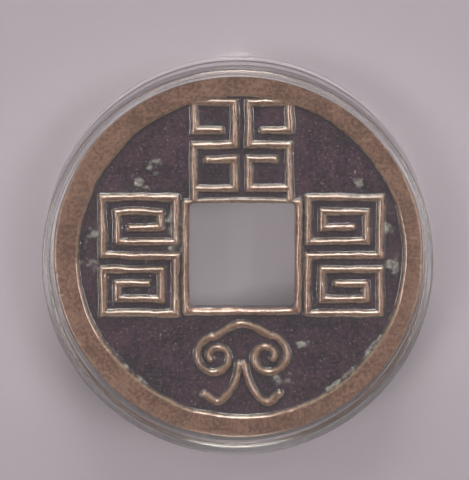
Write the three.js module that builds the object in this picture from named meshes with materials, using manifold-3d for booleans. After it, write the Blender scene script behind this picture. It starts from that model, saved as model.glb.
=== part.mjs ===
// A Chinese cash coin lying in a clear, round capsule of two shells that press together.
// Millimetres. +Z is up, out of the coin's front face, and +Y points to the ornament above its square hole.
// The origin is the centre of the capsule's foot ring, on the surface that the capsule stands on.

import * as THREE from 'three';
import { mergeVertices } from 'three/addons/utils/BufferGeometryUtils.js';
import Module from 'manifold-3d';

// Coin: one casting
const coinDiameter = 24.5;
const coinThickness = 1.5; // over both outer rims
const coinEdgeRound = 0.14; // worn edge between the faces and the side
const frontRelief = 0.35; // height of the front's rims and ornament over its field
const backRelief = 0.25;
const reliefSlope = 0.08; // how far the side of a raised line leans in over its height
const frontRimWidth = 1.55;
const backRimWidth = 1.9;
const rimShift = new THREE.Vector2(0.19, -0.05); // the rim's inner circle lies off centre, as cast

// Square hole and the raised frame round it
const holeWidth = 6.95;
const holeHeight = 7.05;
const holeCornerRadius = 0.3;
const holeShift = new THREE.Vector2(0.22, 0.02); // the hole lies off centre too
const frameSide = 0.53; // width of the frame left and right of the hole
const frameTop = 0.3;
const frameBottom = 0.48;
const backFrameWidth = 0.6;

// Relief ornament: square thunder frets above, left and right of the hole, and a cloud scroll below it
const strokeWidth = 0.54; // at the foot of the line
const fretPitch = 0.95; // from one line of a fret to the next
const topFretWidth = 6.8;
const topFretRimGap = 0.1; // between the middle of the top fret and the rim
const sideFretHeight = 8.3;
const sideFretFrameGap = 0.1; // between a side fret and the frame
const sideFretRimGap = 1.25; // between a side fret and the rim, level with the hole
const cloudFrameGap = 0.35; // between the cloud's crown and the frame
const cloudCrownRise = 0.75; // height of the crown over the tops of the curls
const cloudCurlRadius = 1.45;
const cloudCurlEye = 0.4; // radius at which a curl ends
const cloudCurlTurns = 1.3;
const cloudCurlSpacing = 1.72; // from the cloud's middle to the middle of a curl
const cloudTailRimGap = 0.55; // between the lowest point of the tail and the rim
const cloudTailSpread = 2.5; // from the cloud's middle to the tip of a tail
const cloudTailHook = 0.6; // height of the upturned tip

// Capsule: lower shell with foot ring, window and spigot; upper shell with skirt, window and top ring
const wellClearance = 0.1; // between the coin's side and the wall round it
const leanShare = 0.7; // the coin leans towards +X by this share of that clearance
const seatGap = 0.03; // between the coin and the lower window
const headroom = 0.3; // between the coin and the upper window
const windowThickness = 0.6;
const footHeight = 1.75;
const topRingHeight = 1.72;
const spigotWall = 0.22;
const lapGap = 0.04; // between spigot and skirt
const skirtWall = 0.24;
const footWallHeight = 3.0; // the lower shell's full wall, up to the parting line
const partingGap = 0.03;
const spigotHeadGap = 0.08; // between the spigot's top and the upper window
const spigotLeadIn = 0.1;
const shellEdgeRound = 0.16;

// Stub left on the lower shell where the moulding was cut from its runner
const gateWidth = 1.45;
const gateStand = 0.22;
const gateHeight = 0.75;
const gateLift = 0.25; // above the surface that the capsule stands on

// Fineness
const sidesRound = 120;
const roundSteps = 3; // flats in a rounded edge
const cornerSteps = 4; // flats in a corner of the hole
const curveSteps = 30; // flats along a curled line
const overshoot = 0.5; // how far a cutting solid runs past what it cuts

// Worked out from the sizes above
const coinRadius = coinDiameter / 2;
const fieldTop = coinThickness - frontRelief;
const frontRimRadius = coinRadius - frontRimWidth;
const backRimRadius = coinRadius - backRimWidth;
const wellRadius = coinRadius + wellClearance;
const spigotRadius = wellRadius + spigotWall;
const skirtRadius = spigotRadius + lapGap;
const capsuleRadius = skirtRadius + skirtWall;
const floorTop = footHeight + windowThickness;
const coinSeat = floorTop + seatGap;
const lidWindowBottom = coinSeat + coinThickness + headroom;
const lidWindowTop = lidWindowBottom + windowThickness;
const capsuleHeight = lidWindowTop + topRingHeight;
const spigotTop = lidWindowBottom - spigotHeadGap;

const wasm = await Module();
wasm.setup();

// Closed meshes and solids

/** A manifold solid from a closed three.js geometry. */
function solidOf(geometry) {
  const bare = geometry.clone();
  bare.deleteAttribute('normal');
  bare.deleteAttribute('uv');
  const merged = mergeVertices(bare, 1e-5);
  const corners = merged.index.array;
  const triangles = [];
  for (let i = 0; i < corners.length; i += 3) {
    const [a, b, c] = [corners[i], corners[i + 1], corners[i + 2]];
    if (a !== b && b !== c && c !== a) triangles.push(a, b, c);
  }
  const mesh = new wasm.Mesh({
    numProp: 3,
    vertProperties: new Float32Array(merged.attributes.position.array),
    triVerts: new Uint32Array(triangles),
  });
  return new wasm.Manifold(mesh);
}

/** A three.js geometry from a manifold solid. */
function geometryOf(solid) {
  const mesh = solid.getMesh();
  const geometry = new THREE.BufferGeometry();
  geometry.setAttribute('position', new THREE.BufferAttribute(new Float32Array(mesh.vertProperties), 3));
  geometry.setIndex(new THREE.BufferAttribute(new Uint32Array(mesh.triVerts), 1));
  geometry.computeVertexNormals();
  return geometry;
}

/** A body turned about +Z from [radius, height] points that run anticlockwise from the axis back to it. */
function turned(profile, centre = new THREE.Vector2(0, 0)) {
  const points = profile.map(([radius, height]) => new THREE.Vector2(radius, height));
  const geometry = new THREE.LatheGeometry(points, sidesRound);
  geometry.rotateX(Math.PI / 2);
  geometry.translate(centre.x, centre.y, 0);
  return solidOf(geometry);
}

/** Points of a quarter round from one [radius, height] point to another, about the given centre. */
function quarterRound(centreRadius, centreHeight, radius, startAngle) {
  const points = [];
  for (let i = 0; i <= roundSteps; i += 1) {
    const angle = startAngle + ((Math.PI / 2) * i) / roundSteps;
    points.push([centreRadius + radius * Math.cos(angle), centreHeight + radius * Math.sin(angle)]);
  }
  return points;
}

/** A block with sides that lean in by slope from its bottom to its top. */
function taperedBlock(length, width, bottom, top, slope) {
  const geometry = new THREE.BoxGeometry(length, width, top - bottom);
  const position = geometry.attributes.position;
  for (let i = 0; i < position.count; i += 1) {
    if (position.getZ(i) > 0) {
      position.setX(i, position.getX(i) - Math.sign(position.getX(i)) * slope);
      position.setY(i, position.getY(i) - Math.sign(position.getY(i)) * slope);
    }
  }
  geometry.translate(0, 0, (top + bottom) / 2);
  return geometry;
}

// Ornament

/** Raised bars along a square-cornered line. */
function raisedBars(points) {
  const bars = [];
  for (let i = 0; i + 1 < points.length; i += 1) {
    const [from, to] = [points[i], points[i + 1]];
    const length = from.distanceTo(to) + strokeWidth;
    const foot = fieldTop - reliefSlope;
    const geometry = taperedBlock(length, strokeWidth, foot, coinThickness, reliefSlope);
    geometry.rotateZ(Math.atan2(to.y - from.y, to.x - from.x));
    geometry.translate((from.x + to.x) / 2, (from.y + to.y) / 2, 0);
    bars.push(solidOf(geometry));
  }
  return bars;
}

/** A raised line of even width along a smooth curve. */
function raisedCurve(points) {
  const sides = [[], []];
  points.forEach((point, i) => {
    const before = points[Math.max(i - 1, 0)];
    const after = points[Math.min(i + 1, points.length - 1)];
    const across = new THREE.Vector2(before.y - after.y, after.x - before.x).setLength(strokeWidth / 2);
    sides[0].push(point.clone().add(across));
    sides[1].unshift(point.clone().sub(across));
  });
  const geometry = new THREE.ExtrudeGeometry(new THREE.Shape([...sides[1], ...sides[0]]), {
    steps: 1,
    depth: frontRelief,
    bevelThickness: reliefSlope,
    bevelSize: reliefSlope,
    bevelOffset: -reliefSlope,
    bevelSegments: 1,
  });
  geometry.translate(0, 0, fieldTop - reliefSlope);
  return solidOf(geometry);
}

/** The line of a square spiral that starts at [0, 0] and winds inwards clockwise in a box. */
function squareSpiral(width, height) {
  const points = [new THREE.Vector2(0, 0)];
  let [left, right, bottom, top] = [0, width, 0, height];
  while (right - left > fretPitch && top - bottom > fretPitch) {
    points.push(new THREE.Vector2(left, top), new THREE.Vector2(right, top));
    bottom += fretPitch;
    points.push(new THREE.Vector2(right, bottom));
    left += fretPitch;
    points.push(new THREE.Vector2(left, bottom));
    right -= fretPitch;
    top -= fretPitch;
  }
  return points;
}

/** An S-shaped fret of two square spirals in a box about a centre; side is 1, or -1 for its mirror image. */
function doubleFret(centre, width, height, side) {
  const half = squareSpiral(width, height / 2).map((point) => new THREE.Vector2(point.x - width / 2, point.y));
  const other = half.map((point) => point.clone().negate());
  return [...half.reverse(), ...other].map((point) => new THREE.Vector2(centre.x + side * point.x, centre.y + point.y));
}

/** The pair of frets above the hole, whose outer lines stand on the frame. */
function topFrets() {
  const bottom = holeShift.y + holeHeight / 2 + frameTop + fretPitch - strokeWidth / 2;
  const top = rimShift.y + frontRimRadius - topFretRimGap - strokeWidth / 2;
  const width = (topFretWidth - strokeWidth - fretPitch) / 2;
  const offset = (width + fretPitch) / 2;
  return [-1, 1].flatMap((side) => {
    const centre = new THREE.Vector2(holeShift.x + side * offset, (bottom + top) / 2);
    const outer = centre.x + (side * width) / 2;
    const leg = [new THREE.Vector2(outer, bottom), new THREE.Vector2(outer, bottom - fretPitch)];
    return [...raisedBars(doubleFret(centre, width, top - bottom, side)), ...raisedBars(leg)];
  });
}

/** The frets left and right of the hole. */
function sideFrets() {
  return [-1, 1].flatMap((side) => {
    const inner = holeShift.x + side * (holeWidth / 2 + frameSide + sideFretFrameGap + strokeWidth / 2);
    const outer = rimShift.x + side * (frontRimRadius - sideFretRimGap - strokeWidth / 2);
    const centre = new THREE.Vector2((inner + outer) / 2, holeShift.y);
    return raisedBars(doubleFret(centre, Math.abs(outer - inner), sideFretHeight - strokeWidth, -side));
  });
}

/** The cloud scroll below the hole: a crown that runs out into two curls, and two tails under it. */
function cloudScroll() {
  const middle = holeShift.x;
  const crownTop = holeShift.y - holeHeight / 2 - frameBottom - cloudFrameGap - strokeWidth / 2;
  const curlHeight = crownTop - cloudCrownRise - cloudCurlRadius;
  const tailBottom = rimShift.y - frontRimRadius + cloudTailRimGap + strokeWidth / 2;
  const at = (x, y) => new THREE.Vector2(middle + x, y);

  const curl = [];
  for (let i = 0; i <= curveSteps; i += 1) {
    const share = i / curveSteps;
    const angle = Math.PI / 2 - share * cloudCurlTurns * 2 * Math.PI;
    const radius = THREE.MathUtils.lerp(cloudCurlRadius, cloudCurlEye, share);
    curl.push([cloudCurlSpacing + radius * Math.cos(angle), curlHeight + radius * Math.sin(angle)]);
  }
  const left = curl.map(([x, y]) => at(-x, y)).reverse();
  const crown = [at(-cloudCurlSpacing * 0.45, crownTop - cloudCrownRise * 0.3), at(0, crownTop)];
  crown.push(at(cloudCurlSpacing * 0.45, crownTop - cloudCrownRise * 0.3));
  const right = curl.map(([x, y]) => at(x, y));
  const head = new THREE.SplineCurve([...left, ...crown, ...right]).getPoints(3 * curveSteps);

  const tailTop = curlHeight - cloudCurlRadius * 0.35;
  const tails = [-1, 1].map((side) => {
    const line = new THREE.SplineCurve([
      at(side * strokeWidth * 0.3, tailTop),
      at(side * cloudTailSpread * 0.2, (tailTop + tailBottom) / 2),
      at(side * cloudTailSpread * 0.6, tailBottom + cloudTailHook * 0.1),
      at(side * cloudTailSpread, tailBottom + cloudTailHook),
    ]);
    return raisedCurve(line.getPoints(curveSteps / 2));
  });
  return [raisedCurve(head), ...tails];
}

// Coin

/** An upright prism over the hole's outline, from below the coin to above it. */
function holePrism() {
  const [halfWidth, halfHeight] = [holeWidth / 2 - holeCornerRadius, holeHeight / 2 - holeCornerRadius];
  const outline = new THREE.Shape();
  outline.absarc(halfWidth, halfHeight, holeCornerRadius, 0, Math.PI / 2);
  outline.absarc(-halfWidth, halfHeight, holeCornerRadius, Math.PI / 2, Math.PI);
  outline.absarc(-halfWidth, -halfHeight, holeCornerRadius, Math.PI, Math.PI * 1.5);
  outline.absarc(halfWidth, -halfHeight, holeCornerRadius, Math.PI * 1.5, Math.PI * 2);
  outline.closePath();
  const geometry = new THREE.ExtrudeGeometry(outline, {
    curveSegments: cornerSteps,
    depth: coinThickness + 2 * overshoot,
    bevelEnabled: false,
  });
  geometry.translate(holeShift.x, holeShift.y, -overshoot);
  return solidOf(geometry);
}

/** The raised frame round the hole on the front, still without the hole. */
function frontFrame() {
  const width = holeWidth + 2 * frameSide;
  const height = holeHeight + frameTop + frameBottom;
  const geometry = taperedBlock(width, height, fieldTop - reliefSlope, coinThickness, reliefSlope);
  geometry.translate(holeShift.x, holeShift.y + (frameTop - frameBottom) / 2, 0);
  return solidOf(geometry);
}

/** The raised frame round the hole on the back, still without the hole. */
function backFrame() {
  const width = holeWidth + 2 * backFrameWidth;
  const height = holeHeight + 2 * backFrameWidth;
  const geometry = taperedBlock(width, height, 0, backRelief + reliefSlope, -reliefSlope);
  geometry.translate(holeShift.x, holeShift.y, 0);
  return solidOf(geometry);
}

/** The whole coin, with its back at z = 0. */
function coinSolid() {
  const bend = coinEdgeRound;
  const blank = turned([
    [0, 0],
    ...quarterRound(coinRadius - bend, bend, bend, -Math.PI / 2),
    ...quarterRound(coinRadius - bend, coinThickness - bend, bend, 0),
    [0, coinThickness],
  ]);
  const above = coinThickness + overshoot;
  const frontRecess = turned(
    [
      [0, fieldTop],
      [frontRimRadius - reliefSlope, fieldTop],
      [frontRimRadius, coinThickness],
      [frontRimRadius, above],
      [0, above],
    ],
    rimShift,
  );
  const backRecess = turned(
    [
      [0, -overshoot],
      [backRimRadius, -overshoot],
      [backRimRadius, 0],
      [backRimRadius - reliefSlope, backRelief],
      [0, backRelief],
    ],
    rimShift,
  );
  const cast = blank.subtract(frontRecess).subtract(backRecess);
  const raised = [frontFrame(), backFrame(), ...topFrets(), ...sideFrets(), ...cloudScroll()];
  return raised.reduce((whole, line) => whole.add(line), cast).subtract(holePrism());
}

// Capsule

/** The lower shell: foot ring, window, wall and spigot, with the stub of its moulding gate at +Y. */
function capsuleBaseSolid() {
  const bend = shellEdgeRound;
  const shell = turned([
    [0, footHeight],
    [wellRadius, footHeight],
    [wellRadius, 0],
    ...quarterRound(capsuleRadius - bend, bend, bend, -Math.PI / 2),
    [capsuleRadius, footWallHeight],
    [spigotRadius, footWallHeight],
    [spigotRadius, spigotTop - spigotLeadIn],
    [spigotRadius - spigotLeadIn, spigotTop],
    [wellRadius, spigotTop],
    [wellRadius, floorTop],
    [0, floorTop],
  ]);
  const reach = gateStand + skirtWall;
  const gate = new THREE.BoxGeometry(gateWidth, reach, gateHeight);
  gate.translate(0, capsuleRadius + gateStand - reach / 2, gateLift + gateHeight / 2);
  return shell.add(solidOf(gate));
}

/** The upper shell: skirt over the spigot, window and top ring. */
function capsuleLidSolid() {
  const bend = shellEdgeRound;
  return turned([
    [0, lidWindowBottom],
    [skirtRadius, lidWindowBottom],
    [skirtRadius, footWallHeight + partingGap],
    [capsuleRadius, footWallHeight + partingGap],
    ...quarterRound(capsuleRadius - bend, capsuleHeight - bend, bend, 0),
    [wellRadius, capsuleHeight],
    [wellRadius, lidWindowTop],
    [0, lidWindowTop],
  ]);
}

// Named parts

/** A named mesh of a solid in its own material. */
function part(name, solid, material) {
  const mesh = new THREE.Mesh(geometryOf(solid), material);
  mesh.name = name;
  return mesh;
}

/** Clear moulded plastic. */
function clearPlastic() {
  return new THREE.MeshStandardMaterial({
    color: 0xe9eef0,
    roughness: 0.08,
    metalness: 0,
    transparent: true,
    opacity: 0.3,
  });
}

const bronze = new THREE.MeshStandardMaterial({ color: 0x7a6052, roughness: 0.45, metalness: 0.85 });

const cashCoin = new THREE.Group();
const coin = part('coin', coinSolid(), bronze);
coin.position.set(wellClearance * leanShare, 0, coinSeat);
cashCoin.add(part('capsule_base', capsuleBaseSolid(), clearPlastic()));
cashCoin.add(coin);
cashCoin.add(part('capsule_lid', capsuleLidSolid(), clearPlastic()));

export default cashCoin;
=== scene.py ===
"""A Chinese cash coin in its clear round capsule, dressed for a close studio view.

Sizes are in millimetres until a mesh is written, which is in metres. So are the lamps and the floor.
"""

from __future__ import annotations

import logging
import math
from collections.abc import Callable
from dataclasses import dataclass
from enum import Enum

import bpy
import numpy as np
from mathutils import Matrix, Vector

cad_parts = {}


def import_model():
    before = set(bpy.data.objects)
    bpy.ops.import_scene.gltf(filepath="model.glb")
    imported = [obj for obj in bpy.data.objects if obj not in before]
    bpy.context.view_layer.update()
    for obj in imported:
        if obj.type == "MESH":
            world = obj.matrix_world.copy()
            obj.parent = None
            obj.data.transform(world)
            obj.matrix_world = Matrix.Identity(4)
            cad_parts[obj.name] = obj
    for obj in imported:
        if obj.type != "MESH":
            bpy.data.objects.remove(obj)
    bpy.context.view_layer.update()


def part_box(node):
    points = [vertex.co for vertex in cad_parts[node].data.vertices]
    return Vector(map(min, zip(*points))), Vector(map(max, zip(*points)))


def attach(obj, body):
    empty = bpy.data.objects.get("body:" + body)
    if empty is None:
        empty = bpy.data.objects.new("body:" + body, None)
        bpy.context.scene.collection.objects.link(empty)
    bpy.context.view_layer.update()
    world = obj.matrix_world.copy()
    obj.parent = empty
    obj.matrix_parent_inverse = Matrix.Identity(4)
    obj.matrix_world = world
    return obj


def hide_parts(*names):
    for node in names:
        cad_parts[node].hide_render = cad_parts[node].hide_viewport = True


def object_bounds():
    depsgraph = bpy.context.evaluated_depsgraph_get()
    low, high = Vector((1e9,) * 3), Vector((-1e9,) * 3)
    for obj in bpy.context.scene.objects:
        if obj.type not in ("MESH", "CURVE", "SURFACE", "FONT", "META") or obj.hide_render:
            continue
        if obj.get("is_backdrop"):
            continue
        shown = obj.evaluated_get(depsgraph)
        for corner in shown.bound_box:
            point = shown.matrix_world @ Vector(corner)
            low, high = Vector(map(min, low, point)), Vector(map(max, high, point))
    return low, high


LOG = logging.getLogger("cash_coin")
MM = 0.001

WORD = 0xFFFFFFFF
HALF_WORD = 0x7FFFFFFF
COLUMN_FACTOR = 374761393
ROW_FACTOR = 668265263
SEED_FACTOR = 974634777
MIX_FACTOR = 1274126177
MIX_SHIFTS = (13, 16)
LAYER_SHIFT = (7.3, -3.1)

Colour = tuple[float, float, float]
Pair = tuple[float, float]
Points = np.ndarray
Profile = list[Pair]
Socket = bpy.types.NodeSocket


class Slot(Enum):
    """Two material slot names, which nothing in this script uses."""

    BRONZE = "bronze"
    CLEAR_SHELL = "clear_shell"


class Mask(Enum):
    """Point attributes of the coin's mesh that its finish reads."""

    RAISED = "raised"
    # the lighter band along the raised lines' edges: rubbed wear and a painted highlight
    EDGE = "edge"
    # the dark band at the raised lines' feet: dirt and painted shade
    HOLLOW = "hollow"
    CRUST = "crust"


class SocketKind(Enum):
    """Types of a node group's sockets."""

    COLOUR = "NodeSocketColor"
    VALUE = "NodeSocketFloat"


class MixKind(Enum):
    """What a mix node mixes: its data type, the numbers of its two inputs and that of its output."""

    COLOUR = ("RGBA", 6, 7, 2)
    VALUE = ("FLOAT", 2, 3, 0)


Masks = dict[Mask, Points]


# Noise and distances


def lattice(column: Points, row: Points, seed: int) -> Points:
    """Give each lattice point a fixed number.

    Args:
        column: Whole columns.
        row: Whole rows.
        seed: Which lattice to read.

    Returns:
        Numbers from -1 to 1.
    """
    mixed = (column * COLUMN_FACTOR + row * ROW_FACTOR + seed * SEED_FACTOR) & WORD
    mixed = ((mixed ^ (mixed >> MIX_SHIFTS[0])) * MIX_FACTOR) & WORD
    mixed = mixed ^ (mixed >> MIX_SHIFTS[1])
    return mixed / HALF_WORD - 1.0


def ease(share: Points) -> Points:
    """Ease from 0 to 1, with no slope and no bend at either end."""
    return share * share * share * (share * (share * 6.0 - 15.0) + 10.0)


def noise(x: Points, y: Points, size: float, seed: int) -> Points:
    """Smooth noise over the plane.

    Args:
        x: Places across.
        y: Places up.
        size: The size of a lump.
        seed: Which noise.

    Returns:
        Numbers from -1 to 1.
    """
    across = x / size
    up = y / size
    column = np.floor(across).astype(np.int64)
    row = np.floor(up).astype(np.int64)
    u = ease(across - column)
    v = ease(up - row)
    low = lattice(column, row, seed) * (1.0 - u) + lattice(column + 1, row, seed) * u
    high = lattice(column, row + 1, seed) * (1.0 - u) + lattice(column + 1, row + 1, seed) * u
    return low * (1.0 - v) + high * v


def layered_noise(x: Points, y: Points, size: float, seed: int, layers: int) -> Points:
    """Noise of several sizes, each half as large and half as strong as the last.

    Args:
        x: Places across.
        y: Places up.
        size: The size of the largest lump.
        seed: Which noise.
        layers: How many sizes.

    Returns:
        Numbers from about -1 to 1.
    """
    total = np.zeros_like(x)
    for layer in range(layers):
        share = 0.5**layer
        across = x + LAYER_SHIFT[0] * layer
        up = y + LAYER_SHIFT[1] * layer
        total += share * noise(across, up, size * share, seed + layer)
    return total / (2.0 - 0.5 ** (layers - 1))


def smooth_step(value: Points, low: float, high: float) -> Points:
    """Rise smoothly from 0 at low to 1 at high."""
    share = np.clip((value - low) / (high - low), 0.0, 1.0)
    return share * share * (3.0 - 2.0 * share)


def block_distance(
    x: Points, y: Points, half_width: float, half_height: float, corner: float
) -> Points:
    """Distance to a block with round corners about the origin, negative inside.

    Args:
        x: Places across.
        y: Places up.
        half_width: Half the block's width.
        half_height: Half the block's height.
        corner: The radius of its corners.

    Returns:
        The distances.
    """
    across = np.abs(x) - (half_width - corner)
    up = np.abs(y) - (half_height - corner)
    outside = np.hypot(np.maximum(across, 0.0), np.maximum(up, 0.0))
    return outside + np.minimum(np.maximum(across, up), 0.0) - corner


def line_distance(x: Points, y: Points, line: Points) -> Points:
    """Distance to the nearest point of a line of straight stretches.

    Args:
        x: Places across.
        y: Places up.
        line: The line's corners, one a row.

    Returns:
        The distances.
    """
    shortest = 1e-9
    nearest = np.full_like(x, np.inf)
    for start, end in zip(line[:-1], line[1:]):
        step = end - start
        along = (x - start[0]) * step[0] + (y - start[1]) * step[1]
        share = np.clip(along / max(float(step @ step), shortest), 0.0, 1.0)
        away = np.hypot(x - start[0] - share * step[0], y - start[1] - share * step[1])
        nearest = np.minimum(nearest, away)
    return nearest


def smooth_curve(knots: Points, steps: int) -> Points:
    """Points of a smooth curve through the knots.

    Args:
        knots: Points on the curve, one a row.
        steps: How many stretches between two knots.

    Returns:
        The curve's points, one a row.
    """
    ends = np.vstack([2 * knots[0] - knots[1], knots, 2 * knots[-1] - knots[-2]])
    share = np.linspace(0.0, 1.0, steps, endpoint=False)[:, None]
    pieces = []
    for i in range(1, len(ends) - 2):
        before, here, there, after = ends[i - 1 : i + 3]
        bend = 2 * before - 5 * here + 4 * there - after
        twist = 3 * (here - there) + after - before
        pieces.append(here + 0.5 * share * (there - before + share * (bend + share * twist)))
    return np.vstack([*pieces, knots[-1:]])


@dataclass(frozen=True)
class Lumps:
    """Smooth random lumps: their height, their size, which noise they read and in how many layers."""

    height: float
    size: float
    seed: int
    layers: int = 1

    def at(self, x: Points, y: Points) -> Points:
        """Their height at some places, from minus to plus their full height."""
        return self.height * layered_noise(x, y, self.size, self.seed, self.layers)


@dataclass(frozen=True)
class Patches(Lumps):
    """Lumps that rise from nothing as their noise passes from one value to another."""

    span: Pair = (0.0, 1.0)

    def at(self, x: Points, y: Points) -> Points:
        """Their height at some places, from nothing to their full height."""
        rough = layered_noise(x, y, self.size, self.seed, self.layers)
        return self.height * smooth_step(rough, *self.span)


@dataclass(frozen=True)
class Bend:
    """A random bend of the plane, so that no cast line is quite straight."""

    across: tuple[Lumps, ...]
    up: tuple[Lumps, ...]

    def at(self, x: Points, y: Points) -> tuple[Points, Points]:
        """Bend some places."""
        bent_x = sum((lumps.at(x, y) for lumps in self.across), x)
        return bent_x, sum((lumps.at(x, y) for lumps in self.up), y)


# Objects


def add_object(name: str, data: bpy.types.ID) -> bpy.types.Object:
    """Put an object in the scene.

    Args:
        name: The object's name.
        data: Its mesh, light or camera.

    Returns:
        The object.
    """
    item = bpy.data.objects.new(name, data)
    bpy.context.scene.collection.objects.link(item)
    return item


def ring_mesh(name: str, vertices: Points, rings: int, around: int) -> bpy.types.Object:
    """Make a closed body from rings of points, the last joined to the first.

    Args:
        name: The object's name.
        vertices: The rings' points in metres, one a row, ring after ring.
        rings: How many rings.
        around: How many points a ring has.

    Returns:
        The body, smooth shaded.
    """
    ring = np.arange(rings)[:, None]
    spoke = np.arange(around)[None, :]
    here = ring * around + spoke
    ahead = ring * around + (spoke + 1) % around
    after = ((ring + 1) % rings) * around + spoke
    beyond = ((ring + 1) % rings) * around + (spoke + 1) % around
    faces = np.stack([here, after, beyond, ahead], axis=-1).reshape(-1, 4)
    mesh = bpy.data.meshes.new(name)
    mesh.vertices.add(len(vertices))
    mesh.vertices.foreach_set("co", vertices.astype(np.float32).ravel())
    mesh.loops.add(faces.size)
    mesh.loops.foreach_set("vertex_index", faces.astype(np.int32).ravel())
    mesh.polygons.add(len(faces))
    mesh.polygons.foreach_set("loop_start", np.arange(0, faces.size, 4, dtype=np.int32))
    mesh.update(calc_edges=True)
    mesh.validate()
    mesh.shade_smooth()
    return add_object(name, mesh)


# Coin


@dataclass(frozen=True)
class Hole:
    """The coin's square hole, and the frame round it on the front."""

    width: float = 6.95
    height: float = 7.05
    corner: float = 0.3
    shift: Pair = (0.22, 0.02)
    frame_side: float = 0.53
    frame_top: float = 0.3
    frame_bottom: float = 0.48
    frame_corner: float = 0.25

    def distance(self, x: Points, y: Points) -> Points:
        """Distance to the hole's edge, negative in the hole."""
        half = (self.width / 2, self.height / 2)
        return block_distance(x - self.shift[0], y - self.shift[1], *half, self.corner)

    def frame_distance(self, x: Points, y: Points, side: float, top: float, bottom: float) -> Points:
        """Distance to the outer edge of a frame round the hole, negative on the frame.

        Args:
            x: Places across the coin.
            y: Places up the coin.
            side: The frame's width left and right of the hole.
            top: Its width above the hole.
            bottom: Its width below the hole.

        Returns:
            The distances.
        """
        return block_distance(
            x - self.shift[0],
            y - self.shift[1] - (top - bottom) / 2,
            self.width / 2 + side,
            (self.height + top + bottom) / 2,
            self.frame_corner,
        )


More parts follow.
